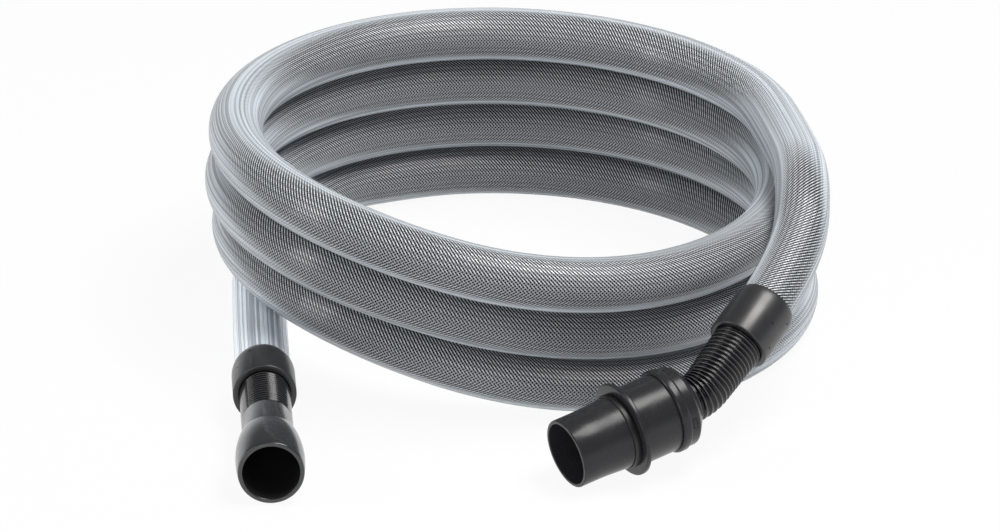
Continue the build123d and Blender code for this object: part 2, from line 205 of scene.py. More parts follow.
def make_active(piece: Piece) -> None:
    """Selects one piece alone and makes it the active one.

    Args:
        piece: The piece.
    """
    bpy.ops.object.select_all(action="DESELECT")
    piece.select_set(True)
    bpy.context.view_layer.objects.active = piece


def cut_away(piece: Piece, cutters: Sequence[Piece]) -> None:
    """Cuts other pieces out of a piece and deletes them.

    Args:
        piece: The piece that is cut.
        cutters: The pieces that are taken away from it.
    """
    for cutter in cutters:
        boolean = piece.modifiers.new("cut", "BOOLEAN")
        boolean.operation = "DIFFERENCE"
        boolean.solver = "EXACT"
        boolean.object = cutter
        make_active(piece)
        bpy.ops.object.modifier_apply(modifier=boolean.name)
        bpy.data.objects.remove(cutter)


def settle(piece: Piece, place: Matrix, sharp_angle: float = SMOOTH_ANGLE) -> Piece:
    """Moves a piece's mesh to its place and smooths its round faces.

    Args:
        piece: The piece, at the origin.
        place: The matrix to the row frame.
        sharp_angle: Edges that turn more than this stay sharp, in degrees.

    Returns:
        The same piece.
    """
    piece.data.transform(place)
    make_active(piece)
    bpy.ops.object.shade_smooth_by_angle(angle=radians(sharp_angle))
    return piece


class NodeBench:
    """Short ways of adding and joining the nodes of one tree."""

    def __init__(self, tree: bpy.types.NodeTree) -> None:
        """Keeps the tree that nodes are added to."""
        self.tree = tree

    def node(self, kind: str, values: Feeds | None = None, **settings: object) -> bpy.types.Node:
        """Adds a node, sets its properties and feeds its inputs.

        Args:
            kind: The node type, without its "ShaderNode" prefix.
            values: What feeds its inputs, by their names or numbers.
            **settings: Properties by name.

        Returns:
            The new node.
        """
        made = self.tree.nodes.new(f"ShaderNode{kind}")
        for name, value in settings.items():
            setattr(made, name, value)
        self.fill(made, values or {})
        return made

    def feed(self, socket: Socket, value: object) -> None:
        """Links a socket to another one, or sets its value.

        Args:
            socket: The input.
            value: The output that feeds it, or its plain value.
        """
        if isinstance(value, Socket):
            self.tree.links.new(value, socket)
        else:
            socket.default_value = value

    def fill(self, node: bpy.types.Node, values: Feeds) -> None:
        """Feeds inputs of a node, each by its name or number."""
        for name, value in values.items():
            self.feed(node.inputs[name], value)

    def math(self, operation: str, *values: object) -> Socket:
        """Works out an operation on values."""
        return self.node("Math", dict(enumerate(values)), operation=operation).outputs[0]

    def times(self, first: object, second: object) -> Socket:
        """Multiplies two values."""
        return self.math("MULTIPLY", first, second)

    def rest(self, value: object) -> Socket:
        """Takes a value from 1."""
        return self.math("SUBTRACT", 1.0, value)

    def spread(self, value: Socket, low: float, high: float, first: float = 0.0, last: float = 1.0) -> Socket:
        """Maps a value smoothly: first where it is low, last where it is high."""
        values = {"Value": value, "From Min": low, "From Max": high, "To Min": first, "To Max": last}
        return self.node("MapRange", values, interpolation_type="SMOOTHSTEP").outputs[0]

    def mix(self, factor: object, first: object, second: object, blend: str = "MIX") -> Socket:
        """Mixes two colours; the factor is the second one's share."""
        values = {0: factor, 6: first, 7: second}
        return self.node("Mix", values, data_type="RGBA", blend_type=blend).outputs[2]

    def noise(self, place: Socket, scale: object, detail: float, roughness: float = 0.5) -> Socket:
        """Adds a noise from 0 to 1."""
        values = {"Vector": place, "Scale": scale, "Detail": detail, "Roughness": roughness}
        return self.node("TexNoise", values).outputs["Fac"]

    def bump(self, height: Socket, strength: float, distance: float) -> Socket:
        """Bends the normal by a height, whose distance is in metres."""
        values = {"Height": height, "Strength": strength, "Distance": distance}
        return self.node("Bump", values).outputs["Normal"]


def open_group(
    name: str, inputs: dict[str, float | str], outputs: Sequence[str]
) -> tuple[NodeBench, dict[str, Socket], dict[str, Socket]]:
    """Starts a shader node group.

    Args:
        name: The group's name.
        inputs: Names of its inputs, each with its default, or "vector" for a place.
        outputs: Names of its outputs, which are all plain values.

    Returns:
        A bench on its tree, its inputs by name and its outputs by name.
    """
    tree = bpy.data.node_groups.new(name, "ShaderNodeTree")
    for title, default in inputs.items():
        kind = "NodeSocketVector" if default == "vector" else "NodeSocketFloat"
        socket = tree.interface.new_socket(title, in_out="INPUT", socket_type=kind)
        if default != "vector":
            socket.default_value = default
    for title in outputs:
        tree.interface.new_socket(title, in_out="OUTPUT", socket_type="NodeSocketFloat")
    start = tree.nodes.new("NodeGroupInput").outputs
    end = tree.nodes.new("NodeGroupOutput").inputs
    return NodeBench(tree), {s.name: s for s in start if s.name}, {s.name: s for s in end if s.name}


def open_material(name: str) -> tuple[Material, NodeBench, bpy.types.Node]:
    """Starts a material.

    Args:
        name: The material's name.

    Returns:
        The material, a bench on its tree and its shader.
    """
    material = bpy.data.materials.new(name)
    material.use_nodes = True
    tree = material.node_tree
    return material, NodeBench(tree), tree.nodes["Principled BSDF"]


@dataclass(frozen=True)
class MouldedGrain:
    """Node group of moulded plastic and rubber: fine grain, flow marks and handling smudges."""

    name: str = "moulded_grain"
    grain_detail: float = 2.0
    grain_share: float = 0.35
    flow_scale: float = 0.6
    flow_detail: float = 4.0
    flow_roughness: float = 0.6
    smudge_detail: float = 5.0
    smudge_roughness: float = 0.65
    smudge_edge: Pair = (0.42, 0.68)

    def build(self) -> None:
        """Builds the group, from a place and two sizes to the tone, the smudges and the grain's height."""
        inputs = {"Place": "vector", "Grain size": 0.0006, "Smudge size": 0.02}
        bench, start, end = open_group(self.name, inputs, ("Tone", "Smudge", "Height"))
        place = start["Place"]
        grain = bench.noise(place, bench.math("DIVIDE", 1.0, start["Grain size"]), self.grain_detail)
        scale = bench.math("DIVIDE", self.flow_scale, start["Smudge size"])
        flow = bench.noise(place, scale, self.flow_detail, self.flow_roughness)
        scale = bench.math("DIVIDE", 1.0, start["Smudge size"])
        smudge = bench.noise(place, scale, self.smudge_detail, self.smudge_roughness)
        fine, coarse = bench.times(grain, self.grain_share), bench.times(flow, 1 - self.grain_share)
        bench.feed(end["Tone"], bench.math("ADD", fine, coarse))
        bench.feed(end["Smudge"], bench.spread(smudge, *self.smudge_edge))
        bench.feed(end["Height"], grain)


@dataclass(frozen=True)
class MouldedFinish:
    """Finish of a moulded black or pale piece."""

    name: str
    dark: Triple
    light: Triple
    roughness: Pair
    bump: float
    specular: float = 0.5
    grain_size: float = 0.0006
    smudge_size: float = 0.02
    bump_share: float = 0.25
    coat: float = 0.0
    coat_roughness: float = 0.1
    coat_ior: float = 1.6

    def material(self) -> Material:
        """Builds the finish as a material.

        Returns:
            The material, with the shared group of grain and smudges.
        """
        material, bench, shader = open_material(self.name)
        place = bench.node("TexCoord").outputs["Object"]
        sizes = {"Grain size": self.grain_size, "Smudge size": self.smudge_size}
        grain = bpy.data.node_groups[MouldedGrain.name]
        marks = bench.node("Group", {"Place": place, **sizes}, node_tree=grain)
        smudge, height = marks.outputs["Smudge"], marks.outputs["Height"]
        bench.fill(shader, {
            "Base Color": bench.mix(marks.outputs["Tone"], (*self.dark, 1), (*self.light, 1)),
            "Roughness": bench.spread(smudge, 0.0, 1.0, *self.roughness),
            "Specular IOR Level": self.specular,
            "Coat Weight": self.coat,
            "Coat Roughness": self.coat_roughness,
            "Coat IOR": self.coat_ior,
            "Normal": bench.bump(height, self.bump, self.grain_size * self.bump_share),
        })
        return material


@dataclass(frozen=True)
class BraidFinish:
    """Finish of the hose: a pale braid over a dark bore, in a clear wall that looks hazy at a slant, partly a
    painted sheen, with painted reflection streaks along it, a painted glint on the threads and painted light
    that makes its left end paler and brighter.
    """

    name: str = "clear_braided_wall"
    thread_pitch: float = 0.0031
    threads: int = 45
    thread_edge: Pair = (0.36, 0.7)
    glint_side_turn: Pair = (-0.7, 0.7)
    glint_weak_share: float = 0.15
    columns: int = 30
    column_turn: Pair = (-0.6, 0.6)
    over_least: float = 0.5
    under_least: float = 0.55
    thread_colour: Triple = (0.86, 0.91, 0.96)
    gap_colour: Triple = (0.004, 0.005, 0.008)
    haze_and_sheen_colour: Triple = (0.62, 0.67, 0.73)
    haze_and_sheen_blend: float = 0.5
    haze_and_sheen_slant: Pair = (0.36, 0.68)
    haze_and_sheen_most: float = 0.72
    painted_light_reach: Pair = (0.15, 0.42)
    painted_light_most: float = 0.75
    painted_light_gain: float = 1.65
    streak_spread: float = 7.0
    streak_drift: float = 0.7
    streak_scale: float = 1.6
    streak_detail: float = 3.0
    streak_roughness: float = 0.6
    reflection_streak_edge: Pair = (0.4, 0.62)
    reflection_streak_tone: Pair = (0.62, 1.5)
    gap_roughness: float = 1.0
    thread_roughness: float = 0.18
    specular: float = 0.5
    coat: float = 0.4
    coat_roughness: float = 0.1
    coat_ior: float = 1.5
    bump: float = 0.5
    bump_depth: float = 0.0003
    ridge_bump: float = 0.6
    ridge_depth: float = 0.0016

    def strand(self, bench: NodeBench, phase: Socket) -> Socket:
        """Makes one family of threads from its phase: 1 on a thread and 0 in a gap."""
        wave = bench.math("COSINE", bench.times(phase, FULL_TURN))
        return bench.spread(wave, *self.thread_edge)

    def thread_group(self) -> bpy.types.NodeTree:
        """Builds the node group of the braid.

        Returns:
            A group from the hose's own length and turn to the threads, with a painted glint on the falling
            threads above and the rising ones below, their height and the wall's streaks, which serve as
            ridges in the coat and as painted reflection lines in the colour.
        """
        inputs = {"Along": 0.0, "Around": 0.0}
        bench, start, end = open_group("hose_braid", inputs, ("Thread", "Height", "Streak"))
        along = bench.math("DIVIDE", start["Along"], self.thread_pitch)
        around = bench.times(start["Around"], float(self.threads))
        rising = self.strand(bench, bench.math("ADD", along, around))
        falling = self.strand(bench, bench.math("SUBTRACT", along, around))
        turned = bench.times(start["Around"], FULL_TURN)
        upper = bench.math("COSINE", turned)
        # Painted glint: the falling threads are brighter on the upper half of the hose and the rising threads
        # on the lower half, as where each family catches the light.
        share = bench.spread(upper, *self.glint_side_turn, 1.0, self.glint_weak_share)
        other = bench.spread(upper, *self.glint_side_turn, self.glint_weak_share, 1.0)
        column = bench.math("COSINE", bench.times(start["Around"], FULL_TURN * self.columns))
        over = bench.spread(column, *self.column_turn, self.over_least, 1.0)
        under = bench.spread(column, *self.column_turn, 1.0, self.under_least)
        first = bench.times(rising, bench.times(share, over))
        second = bench.times(falling, bench.times(other, under))
        bench.feed(end["Thread"], bench.math("MAXIMUM", first, second))
        bench.feed(end["Height"], bench.math("ADD", rising, falling))
        place = bench.node("CombineXYZ", {
            "X": bench.times(upper, self.streak_spread),
            "Y": bench.times(bench.math("SINE", turned), self.streak_spread),
            "Z": bench.times(start["Along"], self.streak_drift),
        }).outputs[0]
        streak = bench.noise(place, self.streak_scale, self.streak_detail, self.streak_roughness)
        bench.feed(end["Streak"], streak)
        return bench.tree

    def material(self) -> Material:
        """Builds the finish as a material.

        Returns:
            The material, for a mesh whose UV map is (metres along, turns around).
        """
        material, bench, shader = open_material(self.name)
        place = bench.node("SeparateXYZ", {0: bench.node("UVMap", uv_map=HOSE_MAP).outputs["UV"]})
        along, around = place.outputs["X"], place.outputs["Y"]
        braid = bench.node("Group", {"Along": along, "Around": around}, node_tree=self.thread_group())
        thread, height, streak = (braid.outputs[name] for name in ("Thread", "Height", "Streak"))
        woven = bench.mix(thread, (*self.gap_colour, 1), (*self.thread_colour, 1))
        # Hazy clear wall seen at a slant, partly a painted sheen: by the view angle the colour turns pale
        # towards the silhouettes, where reflections of the pale surroundings would show.
        facing = bench.node("LayerWeight", {"Blend": self.haze_and_sheen_blend}).outputs["Facing"]
        edge = bench.spread(facing, *self.haze_and_sheen_slant, 0.0, self.haze_and_sheen_most)
        # Painted light: within about 0.42 m of the left end the hose turns paler and brighter, as if more
        # light fell on it there.
        painted_light = bench.spread(along, *self.painted_light_reach, 1.0, 0.0)
        clear = bench.rest(bench.times(painted_light, self.painted_light_most))
        haze_and_sheen_share = bench.rest(bench.times(clear, bench.rest(edge)))
        painted_brightening = bench.spread(painted_light, 0.0, 1.0, 1.0, self.painted_light_gain)
        # Painted reflection streaks: the streak noise makes the pale colour lighter and darker in lines along
        # the hose.
        tone = bench.spread(streak, *self.reflection_streak_edge, *self.reflection_streak_tone)
        haze_and_painted_sheen_colour = bench.mix(1.0, (*self.haze_and_sheen_colour, 1), bench.times(painted_brightening, tone), "MULTIPLY")
        bench.fill(shader, {
            "Base Color": bench.mix(haze_and_sheen_share, woven, haze_and_painted_sheen_colour),
            "Roughness": bench.spread(thread, 0.0, 1.0, self.gap_roughness, self.thread_roughness),
            "Specular IOR Level": self.specular,
            "Coat Weight": self.coat,
            "Coat Roughness": self.coat_roughness,
            "Coat IOR": self.coat_ior,
            "Normal": bench.bump(height, self.bump, self.bump_depth),
            "Coat Normal": bench.bump(streak, self.ridge_bump, self.ridge_depth),
        })
        return material


class Finish(Enum):
    """All finishes of the part."""

    HOSE = BraidFinish()
    PLASTIC = MouldedFinish(
        "satin_black_plastic", (0.022, 0.022, 0.024), (0.028, 0.028, 0.030), roughness=(0.32, 0.38),
        grain_size=0.0005, smudge_size=0.03, bump=0.08, specular=0.62, coat=0.1, coat_roughness=0.2,
    )
    CUFF = MouldedFinish(
        "polished_black_plastic", (0.019, 0.019, 0.021), (0.025, 0.025, 0.027), roughness=(0.2, 0.26),
        grain_size=0.0005, smudge_size=0.03, bump=0.07, specular=0.7, coat=0.3,
    )
    CONNECTOR = MouldedFinish(
        "semi_gloss_black_plastic", (0.022, 0.022, 0.025), (0.029, 0.029, 0.032), roughness=(0.24, 0.32),
        grain_size=0.0005, smudge_size=0.03, bump=0.05, specular=0.3,
    )
    RUBBER = MouldedFinish(
        "ribbed_black_rubber", (0.004, 0.004, 0.005), (0.006, 0.006, 0.007), roughness=(0.16, 0.2),
        grain_size=0.0007, bump=0.08, specular=0.35,
    )
    # Painted highlight: the rib crests are paler than the rest of the rubber, as where they catch the light.
    CREST = MouldedFinish(
        "painted_crest_highlights", (0.05, 0.05, 0.053), (0.07, 0.07, 0.073), roughness=(0.22, 0.28),
        grain_size=0.0007, bump=0.08,
    )
    SEAL = MouldedFinish(
        "seal_rubber", (0.006, 0.006, 0.006), (0.011, 0.011, 0.011), roughness=(0.36, 0.46),
        smudge_size=0.012, bump=0.2,
    )
    INNER = MouldedFinish("inner_moulding", (0.03, 0.03, 0.03), (0.05, 0.05, 0.05), (0.4, 0.5), bump=0.2)
    WASHER = MouldedFinish("slippery_washer", (0.5, 0.5, 0.48), (0.62, 0.62, 0.6), (0.3, 0.4), bump=0.1)


class Wardrobe:
    """The materials of all finishes, each built once."""

    def __init__(self) -> None:
        """Builds the shared group and every material."""
        MouldedGrain().build()
        self.materials = {finish: finish.value.material() for finish in Finish}

    def dress(self, piece: Piece, *finishes: Finish) -> None:
        """Gives a piece its materials, by the numbers that its faces already have.

        Args:
            piece: The piece.
            *finishes: The finishes in the order of the faces' numbers.
        """
        numbers = [face.material_index for face in piece.data.polygons]
        piece.data.materials.clear()
        for finish in finishes:
            piece.data.materials.append(self.materials[finish])
        for face, number in zip(piece.data.polygons, numbers):
            face.material_index = min(number, len(finishes) - 1)

    def mount(self, piece: Piece, finish: Finish, body: Body, node: str) -> Piece:
        """Dresses a piece and puts it on its body, in the stead of its node.

        Args:
            piece: The piece.
            finish: Its finish.
            body: The body that it rides on.
            node: The node that it replaces.

        Returns:
            The same piece.
        """
        self.dress(piece, finish)
        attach(piece, body.value)
        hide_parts(node)
        return piece

    def span(self, neck: Piece, node: str) -> Piece:
        """Dresses a neck, bakes its place into its mesh and hides the node that it replaces.

        Args:
            neck: The neck.
            node: The node that it replaces.

        Returns:
            The same piece.
        """
        # The crest faces take the painted highlight.
        self.dress(neck, Finish.RUBBER, Finish.CREST)
        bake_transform(neck)
        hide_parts(node)
        return neck


@dataclass
class CoiledHose:
    """The hose: four levels of a loose coil, with a tail to each fitting."""

    diameter: float = 0.045
    bore: float = 0.038
    length: float = 5.58
    coil_centre: Pair = (-0.0025, 0.06071)
    levels: tuple[Triple, ...] = (
        (0.235, 0.0045, 0.019),
        (0.232, 0.003, 0.0165),
        (0.230, -0.0045, -0.001),
        (0.2285, -0.003, -0.0135),
    )
    first_height: float = 0.0220
    level_pitch: float = 0.04745
    level_start: float = 202.0
    level_share: float = 250.0
    first_turned: float = 83.333
    last_turned: float = 1246.667
    step_count: int = 78
    left_tail: tuple[Triple, ...] = (
        (-0.1972, -0.1703, 0.0263),
        (-0.2033, -0.0977, 0.0256),
        (-0.2082, -0.0221, 0.0220),
        (-0.2153, 0.0944, 0.0220),
        (-0.1799, 0.2481, 0.0220),
    )
    right_tail: tuple[Triple, ...] = (
        (0.2058, 0.1442, 0.1644),
        (0.2254, 0.0603, 0.1632),
        (0.2378, -0.0257, 0.1646),
        (0.2313, -0.1021, 0.1218),
        (0.1914, -0.1603, 0.0866),
    )
    spline_order: int = 3
    points_per_span: int = 12
    points_per_bore_ring: int = 2
    sides: int = 48

    def step(self) -> float:
        """Degrees between two control points of the coil."""
        return (self.last_turned - self.first_turned) / self.step_count

    def coil_point(self, turned: float) -> Vector:
        """Works out a control point of the coil.

        Args:
            turned: Degrees turned clockwise since the start of the lowest level.

        Returns:
            The point, a little outside the coil so that the smooth line follows it.
        """
        level, within = divmod(turned, 360.0)
        here, height = self.levels[int(level)], level
        if within > self.level_share:
            share = (within - self.level_share) / (360.0 - self.level_share)
            eased = 2 * share**2 if share < 0.5 else 1 - 2 * (1 - share) ** 2
            there = self.levels[int(level) + 1]
            here = tuple(low + (high - low) * eased for low, high in zip(here, there))
            height += eased
        radius, shift, set_back = here
        angle = radians(self.level_start - within)
        outside = radius / cos(radians(self.step() / 2))
        return Vector((
            self.coil_centre[0] + shift + outside * cos(angle),
            self.coil_centre[1] + set_back + outside * sin(angle),
            self.first_height + height * self.level_pitch,
        ))

    def centre_line(self) -> list[Vector]:
        """Reads the hose's smooth centre line from a spline through its control points.

        Returns:
            Points from the end in the left collar to the end in the right one.
        """
        turns = [self.first_turned + self.step() * (index + 0.5) for index in range(self.step_count)]
        points = [*self.left_tail, *map(self.coil_point, turns), *self.right_tail]
        curve = bpy.data.curves.new("hose_route", "CURVE")
        curve.dimensions = "3D"
        curve.resolution_u = self.points_per_span
        spline = curve.splines.new("NURBS")
        spline.points.add(len(points) - 1)
        for control, point in zip(spline.points, points):
            control.co = (*point, 1.0)
        spline.order_u = self.spline_order
        spline.use_endpoint_u = True
        spline.resolution_u = self.points_per_span
        carrier = bpy.data.objects.new("hose_route", curve)
        mesh = bpy.data.meshes.new_from_object(carrier)
        line = [vertex.co.copy() for vertex in mesh.vertices]
        bpy.data.meshes.remove(mesh)
        bpy.data.objects.remove(carrier)
        bpy.data.curves.remove(curve)
        return line

    def build(self) -> tuple[Piece, list[Vector]]:
        """Builds the hose's tube along its centre line, with its bore and cut ends.

        Returns:
            The piece and the line that it follows.
        """
        line = self.centre_line()
        last = len(line) - 1
        reach = [0.0]
        for before, after in zip(line, line[1:]):
            reach.append(reach[-1] + (after - before).length)
        sides = []
        for index in range(len(line)):
            ahead = line[min(index + 1, last)] - line[max(index - 1, 0)]
            side = ahead.cross(UP).normalized()
            sides.append((side, side.cross(ahead).normalized()))
        inside = sorted({*range(0, last, self.points_per_bore_ring), last})
        tube = bmesh.new()
        layer = tube.loops.layers.uv.new(HOSE_MAP)
        outer = [self.ring(tube, line[i], *sides[i], self.diameter / 2) for i in range(len(line))]
        inner = [self.ring(tube, line[i], *sides[i], self.bore / 2) for i in inside]
        self.skin(tube, layer, outer, reach, False)
        self.skin(tube, layer, inner, [reach[i] for i in inside], True)
        self.skin(tube, layer, [inner[0], outer[0]], [reach[0]] * 2, False)
        self.skin(tube, layer, [outer[-1], inner[-1]], [reach[-1]] * 2, False)
        mesh = bpy.data.meshes.new("braided_hose")
        tube.to_mesh(mesh)
        tube.free()
        piece = bpy.data.objects.new("braided_hose", mesh)
        bpy.context.scene.collection.objects.link(piece)
        return settle(piece, Matrix.Identity(4)), line

    def ring(
        self, tube: bmesh.types.BMesh, centre: Vector, side: Vector, up: Vector, radius: float
    ) -> list[bmesh.types.BMVert]:
        """Adds one ring of vertices, pressed flat where it would sink into the floor.

        Args:
            tube: The mesh that is being made.
            centre: The ring's centre.
            side: The direction of a quarter turn.
            up: The direction that it starts in.
            radius: Its radius.

        Returns:
            The vertices.
        """
        made = []
        for index in range(self.sides):
            angle = FULL_TURN * index / self.sides
            point = centre + (up * cos(angle) + side * sin(angle)) * radius
            point.z = max(point.z, 0.0)
            made.append(tube.verts.new(point))
        return made

    def skin(
        self, tube: bmesh.types.BMesh, layer: object, rings: list, reach: list[float], inwards: bool
    ) -> None:
        """Joins rings with faces and writes where each corner lies on the hose.

        Args:
            tube: The mesh that is being made.
            layer: Its UV layer.
            rings: Rings of vertices in order.
            reach: How far along the hose each ring lies, in metres.
            inwards: Whether the faces point at the centre line.
        """
        for row in range(len(rings) - 1):
            for column in range(self.sides):
                across = (column + 1) % self.sides
                corners = [
                    (rings[row][column], reach[row], column),
                    (rings[row][across], reach[row], column + 1),
                    (rings[row + 1][across], reach[row + 1], column + 1),
                    (rings[row + 1][column], reach[row + 1], column),
                ]
                if not inwards:
                    corners.reverse()
                face = tube.faces.new([corner[0] for corner in corners])
                for loop, (_, along, turn) in zip(face.loops, corners):
                    loop[layer].uv = (along, turn / self.sides)

    def dress(self, wardrobe: Wardrobe) -> tuple[Piece, list[Vector]]:
        """Builds and dresses the hose, and gives its piece and its line."""
        piece, line = self.build()
        return wardrobe.mount(piece, Finish.HOSE, Body.HOSE_RUN, "hose"), line


@dataclass
class ClampCollar:
    """Clamping collar on a hose end, measured from its rear edge towards the lip."""

    neck_radius: float
    length: float = 0.046
    radius: float = 0.0258
    rear_radius: float = 0.0242
    taper: float = 0.006
    taper_rounding: float = 0.003
    grip_radius: float = 0.02265
    grip_length: float = 0.030
    flange_radius: float = 0.02415
    lip_start: float = 0.0392
    lip_clearance: float = 0.0003
    pip_radius: float = 0.0009
    pip_depth: float = 0.0006
    pip_sides: int = 20
    pips: tuple[Pair, ...] = ((117.0, 0.011), (147.0, 0.024), (117.0, 0.039))

    def build(self, name: str, place: Matrix) -> Piece:
        """Turns the collar and sinks its pips.

        Args:
            name: The piece's name.
            place: Its place in the row frame.

        Returns:
            The piece.
        """
        lip_radius = self.neck_radius + self.lip_clearance
        piece = turn_piece(name, [
            Corner(self.rear_radius, 0, FINE),
            Corner(self.radius, self.taper, self.taper_rounding),
            Corner(self.radius, self.length, MOUTH),
            Corner(lip_radius, self.length, CRISP),
            Corner(lip_radius, self.lip_start),
            Corner(self.flange_radius, self.lip_start),
            Corner(self.flange_radius, self.grip_length),
            Corner(self.grip_radius, self.grip_length),
            Corner(self.grip_radius, 0, BROKEN),
        ])
        cut_away(piece, [self.pip(angle + side, at) for angle, at in self.pips for side in (0.0, 180.0)])
        return settle(piece, place)

    def pip(self, angle: float, station: float) -> Piece:
        """Makes the cutter of one pip.

        Args:
            angle: Where it is round the collar, in degrees.
            station: Where it is along the collar.

        Returns:
            The cutter.
        """
        turn = Matrix.Rotation(radians(angle), 4, "Z") @ Matrix.Rotation(pi / 2, 4, "Y")
        place = Matrix.Translation((0, 0, station)) @ turn @ Matrix.Translation((0, 0, self.radius))
        bpy.ops.object.select_all(action="DESELECT")
        bpy.ops.mesh.primitive_cylinder_add(
            vertices=self.pip_sides, radius=self.pip_radius, depth=2 * self.pip_depth
        )
        cutter = bpy.context.object
        cutter.data.transform(place)
        return cutter


@dataclass
class RibbedNeck:
    """Ribbed rubber neck, measured from its first plain end."""

    bore_radius: float = 0.0155
    pitch: float = 0.0041
    rib_shares: tuple[Pair, ...] = ((0.14, 0.0), (0.37, 1.0), (0.63, 1.0), (0.86, 0.0))
    bevel_steps: int = 2

    def ribs(self, start: float, count: int, first: float, last: float, depth: float) -> list[Corner]:
        """Corners of a row of ribs.

        Args:
            start: Where the first rib starts.
            count: How many ribs there are.
            first: Crest radius of the first rib.
            last: Crest radius of the last rib.
            depth: How deep the grooves are.

        Returns:
            Four corners a rib.
        """
        made = []
        for index in range(count):
            root = first + (last - first) * index / (count - 1) - depth
            for along, rise in self.rib_shares:
                rounding = CRISP if rise else BROKEN
                made.append(Corner(root + depth * rise, start + (index + along) * self.pitch, rounding))
        return made

    def bore(self, start: float, end: float) -> list[Corner]:
        """Corners of the bore from its end back to its start, close enough for it to bend smoothly."""
        count = round((end - start) / self.pitch)
        return [Corner(self.bore_radius, end + (start - end) * index / count) for index in range(count + 1)]

    def mark_crests(
        self, piece: Piece, start: float, count: int, chosen: Callable[[Vector], bool]
    ) -> None:
        """Numbers the faces on the ribs' crests 1, for their painted highlight, while the neck still lies
        straight on Z.

        Args:
            piece: The neck.
            start: Where the first rib starts.
            count: How many ribs there are.
            chosen: Says of a face's middle whether it may be a crest.
        """
        low, high = (along for along, rise in self.rib_shares if rise)
        for face in piece.data.polygons:
            rib, along = divmod((face.center.z - start) / self.pitch, 1.0)
            on_crest = 0 <= rib < count and low < along < high
            face.material_index = int(on_crest and chosen(face.center))


@dataclass
class LeftFitting:
    """The left end: collar, straight neck with plain sides, sleeve and barrel-shaped push-on socket."""

    mouth: float = 0.1953
    socket_depth: float = 0.044
    neck_radius: float = 0.0207
    neck_start: float = 0.0352
    neck_end: float = 0.1013
    plain_before: float = 0.001
    plain_after: float = 0.0006
    rib_start: float = 0.046
    rib_count: int = 13
    rib_depth: float = 0.0011
    side_half_angle: float = 38.0
    step: float = 0.1333
    shoulder: float = 0.1383
    shoulder_radius: float = 0.024
    barrel_radius: float = 0.0274
    barrel_points: int = 9
    mouth_radius: float = 0.0262
    bore_radius: float = 0.0225
    lead_in: float = 0.0006
    stub_radius: float = 0.01535
    stub_length: float = 0.014
    passage_radius: float = 0.0135
    place: Matrix = field(init=False)

    def __post_init__(self) -> None:
        """Finds the place from the socket mount: Z out of the mouth, origin at the collar's rear."""
        socket, axis = record_entry("mounts", "cuff_socket")
        land = self.socket_depth - 2 * self.lead_in
        origin = socket - axis * (self.mouth - self.socket_depth + land / 2)
        self.place = placed(origin, axis, Vector((1, 0, 0)))

    def build_neck(self) -> Piece:
        """Builds the neck, with ribs above and below and plain sides.

        Returns:
            The piece.
        """
        neck = RibbedNeck()
        radius = self.neck_radius
        outline = [Corner(radius, self.neck_start), Corner(radius, self.rib_start - self.plain_before, CRISP)]
        outline += neck.ribs(self.rib_start, self.rib_count, radius, radius, self.rib_depth)
        outline += [Corner(radius, self.neck_end - self.plain_after), Corner(radius, self.neck_end)]
        outline += neck.bore(self.neck_start, self.neck_end)
        piece = turn_piece("left_ribbed_neck", outline, neck.bevel_steps)
        limit = sin(radians(self.side_half_angle))
        neck.mark_crests(
            piece, self.rib_start, self.rib_count,
            lambda middle: abs(middle.y) > limit * radius and middle.to_2d().length > radius - self.rib_depth,
        )
        for vertex in piece.data.vertices:
            across = hypot(vertex.co.x, vertex.co.y)
            if across > radius - 2 * self.rib_depth and abs(vertex.co.y) < limit * across:
                vertex.co.x *= radius / across
                vertex.co.y *= radius / across
        return settle(piece, self.place, RIBBED_SMOOTH_ANGLE)

    def build_cuff(self) -> Piece:
        """Builds the sleeve and the socket.

        Returns:
            The piece.
        """
        start, end = (self.shoulder_radius, self.shoulder), (self.mouth_radius, self.mouth)
        middle = (self.barrel_radius, (self.shoulder + self.mouth) / 2)
        piece = turn_piece("push_on_cuff", [
            Corner(self.passage_radius, self.neck_end - self.stub_length),
            Corner(self.stub_radius, self.neck_end - self.stub_length),
            Corner(self.stub_radius, self.neck_end),
            Corner(self.neck_radius, self.neck_end, CRISP),
            Corner(self.neck_radius, self.step, FULL),
            Corner(*start, FULL),
            *arc(start, middle, end, self.barrel_points),
            Corner(*end, MOUTH),
            Corner(self.bore_radius + self.lead_in, self.mouth, FINE),
            Corner(self.bore_radius, self.mouth - 2 * self.lead_in),
            Corner(self.bore_radius, self.mouth - self.socket_depth),
            Corner(self.passage_radius, self.step),
        ])
        return settle(piece, self.place)

    def dress(self, wardrobe: Wardrobe) -> list[Piece]:
        """Builds the fitting's pieces, dresses them and puts them on their bodies.

        Args:
            wardrobe: The materials.

        Returns:
            The pieces.
        """
        collar = ClampCollar(self.neck_radius).build("left_clamp_collar", self.place)
        return [
            wardrobe.mount(collar, Finish.PLASTIC, Body.HOSE_RUN, "left_collar"),
            wardrobe.span(self.build_neck(), "left_neck"),
            wardrobe.mount(self.build_cuff(), Finish.CUFF, Body.CUFF, "left_cuff"),
        ]


